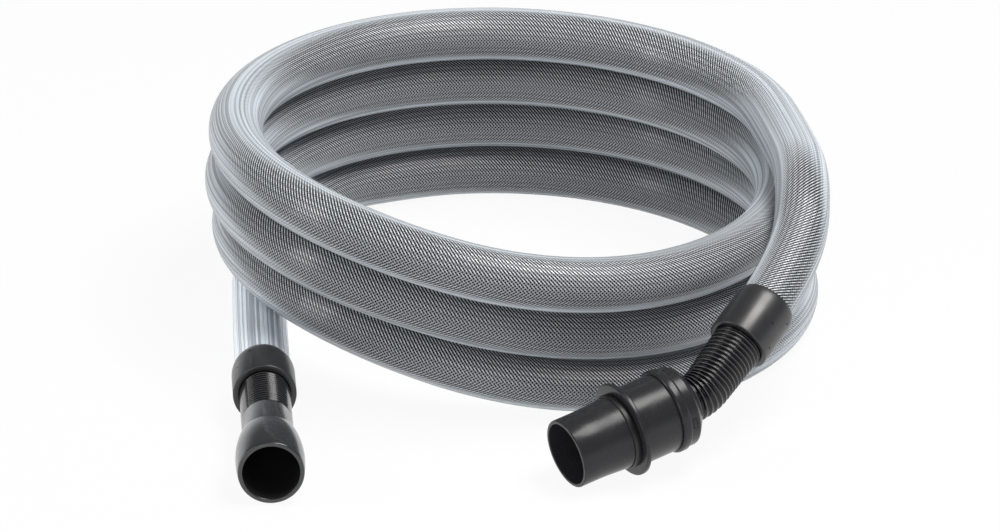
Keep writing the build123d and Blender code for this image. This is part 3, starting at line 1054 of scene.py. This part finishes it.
@dataclass
class RightFitting:
    """The right end: collar, bent neck and flanged swivel connector, measured from the connector's mouth."""

    land_middle: float = 0.0113
    spigot_radius: float = 0.0285
    spigot_bore: float = 0.0255
    land_end: float = 0.022
    land_rounding: float = 0.006
    root_radius: float = 0.030
    seal_start: float = 0.046
    seal_thickness: float = 0.0013
    flange_start: float = 0.052
    flange_end: float = 0.056
    flange_radius: float = 0.0389
    body_radius: float = 0.0325
    cap_start: float = 0.090
    sleeve_radius: float = 0.0306
    sleeve_end: float = 0.105
    journal_bore: float = 0.02906
    chamber_end: float = 0.07583
    seal_sleeve_radius: float = 0.02455
    seal_sleeve_end: float = 0.09983
    seal_bore: float = 0.02235
    throat_end: float = 0.07283
    throat_start: float = 0.06883
    lug_foot: float = 0.0298
    lug_top: float = 0.033475
    lug_width: float = 0.0085
    lug_length: float = 0.0035
    cap_bore: float = 0.03075
    bead_radius: float = 0.035
    bead_chamfer: float = 0.0012
    bead_end: float = 0.098
    cap_radius: float = 0.0336
    rim_end: float = 0.106
    cap_end: float = 0.113
    cone_radius: float = 0.025
    cap_hole: float = 0.0196
    cap_seat: float = 0.10515
    window_start: float = 0.0992
    window_length: float = 0.004
    window_width: float = 0.009
    window_count: int = 4
    block_bevel_steps: int = 2
    neck_seat: float = 0.10389
    neck_gap: float = 0.002
    stiff_length: float = 0.010
    neck_bend_radius: float = 0.050
    neck_run: float = 0.045
    neck_first_radius: float = 0.019
    neck_last_radius: float = 0.0213
    neck_flange_radius: float = 0.024
    neck_flange_length: float = 0.004
    neck_in_collar: float = 0.0128
    collar_root: float = 0.0352
    plain_before: float = 0.0004
    plain_after: float = 0.001
    rib_lead: float = 0.001
    rib_count: int = 17
    rib_depth: float = 0.0017
    place: Matrix = field(init=False)
    hinge: Vector = field(init=False)
    bend_start: Vector = field(init=False)
    bend_angle: float = field(init=False)
    straight: float = field(init=False)
    neck_length: float = field(init=False)

    def __post_init__(self) -> None:
        """Finds the place from the spigot mount, Z towards the neck and X up, and the bend from its joint."""
        land, outwards = record_entry("mounts", "spigot")
        self.place = placed(land + outwards * self.land_middle, -outwards, UP)
        pivot, self.hinge = record_entry("joints", "right_neck_bend")
        self.bend_start = self.place @ Vector((0, 0, self.cap_end + self.neck_gap))
        self.bend_angle = 2 * atan2((pivot - self.bend_start).length, self.neck_bend_radius)
        self.straight = self.cap_end + self.neck_gap - self.neck_seat
        bent = self.bend_angle * self.neck_bend_radius
        self.neck_length = self.straight + bent + self.neck_run + self.neck_in_collar

    def neck_place(self, distance: float) -> Matrix:
        """Place of the neck's section at a distance from its seat on the journal.

        Args:
            distance: Distance along the neck's middle.

        Returns:
            The matrix of that section.
        """
        axis = (self.place.to_3x3() @ UP).normalized()
        towards = self.hinge.cross(axis)
        radius = self.neck_bend_radius
        onward = distance - self.straight
        turned = min(max(onward, 0) / radius, self.bend_angle)
        here = axis * cos(turned) + towards * sin(turned)
        point = self.bend_start + axis * min(onward, 0)
        point += axis * (radius * sin(turned)) + towards * (radius * (1 - cos(turned)))
        point += here * max(onward - self.bend_angle * radius, 0)
        return placed(point, here, self.hinge)

    def build_neck(self) -> Piece:
        """Builds the ribbed neck straight and lays it along its bend.

        Returns:
            The piece.
        """
        neck = RibbedNeck()
        first, last, flange = self.neck_first_radius, self.neck_last_radius, self.neck_flange_radius
        flange_start = self.neck_length - self.neck_flange_length
        first_rib = self.straight - self.rib_lead
        ribs = neck.ribs(first_rib, self.rib_count, first, last, self.rib_depth)
        piece = turn_piece("right_ribbed_neck", [
            Corner(first, 0),
            Corner(first, first_rib - self.plain_before, CRISP),
            *ribs,
            Corner(last, ribs[-1].station + self.plain_after, CRISP),
            Corner(last, flange_start),
            Corner(flange, flange_start),
            Corner(flange, self.neck_length),
            *neck.bore(0, self.neck_length),
        ], neck.bevel_steps)
        inside = first - self.rib_depth
        neck.mark_crests(piece, first_rib, self.rib_count, lambda middle: middle.to_2d().length > inside)
        for vertex in piece.data.vertices:
            section = self.neck_place(vertex.co.z)
            vertex.co = section @ Vector((vertex.co.x, vertex.co.y, 0))
        return settle(piece, Matrix.Identity(4), RIBBED_SMOOTH_ANGLE)

    def build_body(self) -> Piece:
        """Builds the spigot, flange and barrel with the lugs that hold the cap.

        Returns:
            The piece.
        """
        piece = turn_piece("connector_barrel", [
            Corner(self.spigot_bore, 0, FINE),
            Corner(self.spigot_radius, 0, RIM),
            Corner(self.spigot_radius, self.land_end, self.land_rounding),
            Corner(self.root_radius, self.seal_start),
            Corner(self.root_radius, self.flange_start),
            Corner(self.flange_radius, self.flange_start, RIM),
            Corner(self.flange_radius, self.flange_end, RIM),
            Corner(self.body_radius, self.flange_end, FULL),
            Corner(self.body_radius, self.cap_start, FINE),
            Corner(self.sleeve_radius, self.cap_start),
            Corner(self.sleeve_radius, self.sleeve_end, CRISP),
            Corner(self.journal_bore, self.sleeve_end),
            Corner(self.journal_bore, self.chamber_end),
            Corner(self.seal_sleeve_radius, self.chamber_end),
            Corner(self.seal_sleeve_radius, self.seal_sleeve_end),
            Corner(self.seal_bore, self.seal_sleeve_end, CRISP),
            Corner(self.seal_bore, self.throat_end, SOFT),
            Corner(self.spigot_bore, self.throat_start, BROAD),
        ])
        lugs = self.blocks(self.lug_foot, self.lug_top, self.lug_width, self.lug_length)
        make_active(piece)
        for lug in lugs:
            lug.select_set(True)
        bpy.ops.object.join()
        return settle(piece, self.place)

    def blocks(self, low: float, high: float, width: float, length: float) -> list[Piece]:
        """Makes a small block with softened edges in the place of each snap window.

        Args:
            low: Its lowest radius.
            high: Its highest radius.
            width: Its width round the cap.
            length: Its length along the cap.

        Returns:
            The blocks.
        """
        size = Matrix.Diagonal((high - low, width, length, 1))
        middle = Matrix.Translation(((low + high) / 2, 0, self.window_start + self.window_length / 2))
        made = []
        for index in range(self.window_count):
            bpy.ops.object.select_all(action="DESELECT")
            bpy.ops.mesh.primitive_cube_add(size=1)
            block = bpy.context.object
            turn = Matrix.Rotation(FULL_TURN * index / self.window_count, 4, "Z")
            block.data.transform(turn @ middle @ size)
            bpy.ops.object.mode_set(mode="EDIT")
            bpy.ops.mesh.select_all(action="SELECT")
            bpy.ops.mesh.bevel(offset=CRISP, segments=self.block_bevel_steps, affect="EDGES")
            bpy.ops.object.mode_set(mode="OBJECT")
            made.append(block)
        return made

    def build_cap(self) -> Piece:
        """Builds the rear cap with its bead, windows and cone.

        Returns:
            The piece.
        """
        piece = turn_piece("connector_rear_cap", [
            Corner(self.cap_bore, self.cap_start, BROKEN),
            Corner(self.bead_radius - self.bead_chamfer, self.cap_start, FINE),
            Corner(self.bead_radius, self.cap_start + self.bead_chamfer, SOFT),
            Corner(self.bead_radius, self.bead_end - self.bead_chamfer, SOFT),
            Corner(self.cap_radius, self.bead_end, SMALL),
            Corner(self.cap_radius, self.rim_end, FULL),
            Corner(self.cone_radius, self.cap_end, SOFT),
            Corner(self.cap_hole, self.cap_end, FINE),
            Corner(self.cap_hole, self.cap_seat),
            Corner(self.cap_bore, self.cap_seat),
        ])
        depth = self.cap_radius / 2
        cut_away(piece, self.blocks(depth, depth * 3, self.window_width, self.window_length))
        return settle(piece, self.place)

    def build_seal(self) -> Piece:
        """Builds the soft ring round the spigot's root.

        Returns:
            The piece.
        """
        outer = self.root_radius + self.seal_thickness
        piece = turn_piece("spigot_seal_ring", [
            Corner(self.root_radius, self.seal_start, BROKEN),
            Corner(outer, self.seal_start, SMALL),
            Corner(outer, self.flange_start, CRISP),
            Corner(self.root_radius, self.flange_start),
        ])
        return settle(piece, self.place)

    def dress(self, wardrobe: Wardrobe) -> list[Piece]:
        """Builds the fitting's pieces, dresses them and puts them on their bodies.

        Args:
            wardrobe: The materials.

        Returns:
            The pieces, the collar first.
        """
        root = self.neck_place(self.neck_length)
        collar_place = root @ Matrix.Translation(UP * self.collar_root) @ Matrix.Rotation(pi, 4, "X")
        collar = ClampCollar(self.neck_last_radius).build("right_clamp_collar", collar_place)
        pieces = [
            wardrobe.mount(collar, Finish.PLASTIC, Body.HOSE_RUN, "right_collar"),
            wardrobe.span(self.build_neck(), "right_neck"),
        ]
        for piece, finish, node, slot in (
            (self.build_body(), Finish.CONNECTOR, "connector_body", Slot.CONNECTOR_PLASTIC),
            (self.build_cap(), Finish.CONNECTOR, "connector_cap", Slot.CONNECTOR_PLASTIC),
            (self.build_seal(), Finish.SEAL, "flange_seal", Slot.SEAL_RUBBER),
        ):
            pieces.append(wardrobe.mount(piece, finish, Body.CONNECTOR, node))
        return pieces


@dataclass(frozen=True)
class Softbox:
    """A soft rectangular lamp that points at the object."""

    name: str
    place: Triple
    size: Pair
    power: float
    colour: Triple = (1.0, 0.985, 0.96)
    aim: Triple = (0.0, 0.0, 0.08)

    def hang(self) -> None:
        """Adds the lamp to the scene."""
        data = bpy.data.lights.new(self.name, "AREA")
        data.shape = "RECTANGLE"
        data.size, data.size_y = self.size
        data.energy = self.power
        data.color = self.colour
        lamp = bpy.data.objects.new(self.name, data)
        lamp.location = self.place
        lamp.rotation_euler = (Vector(self.aim) - Vector(self.place)).to_track_quat("-Z", "Y").to_euler()
        bpy.context.scene.collection.objects.link(lamp)


@dataclass
class Studio:
    """Pale floor, soft lamps and a camera at the photograph's viewing angle."""

    camera_place: Triple = (-0.0102, -4.6116, 2.0897)
    camera_tilt: float = 66.3
    camera_roll: float = 2.1
    lens: float = 218.0
    sensor: float = 36.0
    floor_size: float = 16.0
    floor_colour: Triple = (0.86, 0.87, 0.88)
    floor_roughness: float = 0.9
    seen_white: float = 0.93
    world_colour: Triple = (0.92, 0.96, 1.0)
    world_strength: float = 0.2
    horizon_strength: float = 0.8
    horizon_top: float = 0.3
    overhead_strength: float = 0.16
    lamps: tuple[Softbox, ...] = (
        Softbox("top_softbox", (0.78, -0.2, 2.2), (1.5, 1.0), 52.0),
        Softbox("left_softbox", (-1.9, -0.6, 1.0), (0.5, 1.4), 12.0),
        Softbox("front_softbox", (-0.3, -2.6, 0.9), (1.6, 0.4), 9.0),
    )

    def build(self) -> None:
        """Builds the floor, the world, the lamps and the camera."""
        self.floor()
        self.world()
        for lamp in self.lamps:
            lamp.hang()
        self.camera()
        bpy.context.scene.view_settings.view_transform = "Standard"

    def floor(self) -> None:
        """Builds the floor, which keeps a faint shadow and otherwise shows white."""
        bpy.ops.object.select_all(action="DESELECT")
        bpy.ops.mesh.primitive_plane_add(size=self.floor_size)
        piece = bpy.context.object
        piece.name = "studio_floor"
        material, bench, shader = open_material("pale_floor")
        bench.fill(shader, {"Base Color": (*self.floor_colour, 1), "Roughness": self.floor_roughness})
        path = bench.node("LightPath").outputs
        direct = bench.math("MAXIMUM", path["Is Camera Ray"], path["Is Glossy Ray"])
        seen = bench.math("MAXIMUM", direct, path["Is Transmission Ray"])
        glow, share = bench.node("Emission").outputs[0], bench.times(seen, self.seen_white)
        both = bench.node("MixShader", {0: share, 1: shader.outputs[0], 2: glow}).outputs[0]
        bench.fill(bench.tree.nodes["Material Output"], {0: both})
        piece.data.materials.append(material)

    def world(self) -> None:
        """Builds a white world that lights softly and shows white."""
        world = bpy.data.worlds.new("white_studio")
        world.use_nodes = True
        bpy.context.scene.world = world
        bench = NodeBench(world.node_tree)
        path = bench.node("LightPath").outputs
        aloft = bench.node("SeparateXYZ", {0: bench.node("TexCoord").outputs["Generated"]}).outputs["Z"]
        sky = bench.spread(aloft, 0.0, self.horizon_top, self.horizon_strength, self.overhead_strength)
        gloss = bench.math("MAXIMUM", path["Is Glossy Ray"], path["Is Transmission Ray"])
        brighter = bench.times(gloss, bench.math("SUBTRACT", sky, self.world_strength))
        lit = bench.math("ADD", brighter, self.world_strength)
        seen = bench.times(path["Is Camera Ray"], bench.rest(lit))
        strength = bench.math("ADD", lit, seen)
        background = world.node_tree.nodes["Background"]
        bench.fill(background, {"Color": (*self.world_colour, 1), "Strength": strength})

    def camera(self) -> None:
        """Adds the camera."""
        data = bpy.data.cameras.new("camera")
        data.lens = self.lens
        data.sensor_width = self.sensor
        camera = bpy.data.objects.new("camera", data)
        camera.location = self.camera_place
        tilt = Matrix.Rotation(radians(self.camera_tilt), 3, "X")
        camera.rotation_euler = (tilt @ Matrix.Rotation(radians(self.camera_roll), 3, "Z")).to_euler()
        bpy.context.scene.collection.objects.link(camera)
        bpy.context.scene.camera = camera


def dress_inner_nodes(wardrobe: Wardrobe) -> None:
    """Gives the pieces inside the fittings their materials.

    Args:
        wardrobe: The materials.
    """
    choices = {
        Finish.INNER: ("left_hose_tail", "right_hose_tail", "swivel_journal"),
        Finish.SEAL: ("left_hose_washer", "right_hose_washer", "swivel_seal"),
        Finish.WASHER: ("thrust_washer",),
    }
    for finish, nodes in choices.items():
        for node in nodes:
            wardrobe.dress(frame["nodes"][node], finish)
            log.info("dressed %s", node)


def main() -> None:
    """Builds the studio, the hose and both fittings."""
    logging.basicConfig(level=logging.INFO)
    Studio().build()
    wardrobe = Wardrobe()
    hose = CoiledHose()
    hose_piece, line = hose.dress(wardrobe)
    left_pieces = LeftFitting().dress(wardrobe)
    right_pieces = RightFitting().dress(wardrobe)
    dress_inner_nodes(wardrobe)
    for piece in (hose_piece, *left_pieces, *right_pieces):
        log.info("built %s with %d faces", piece.name, len(piece.data.polygons))


if __name__ == "__main__":
    main()
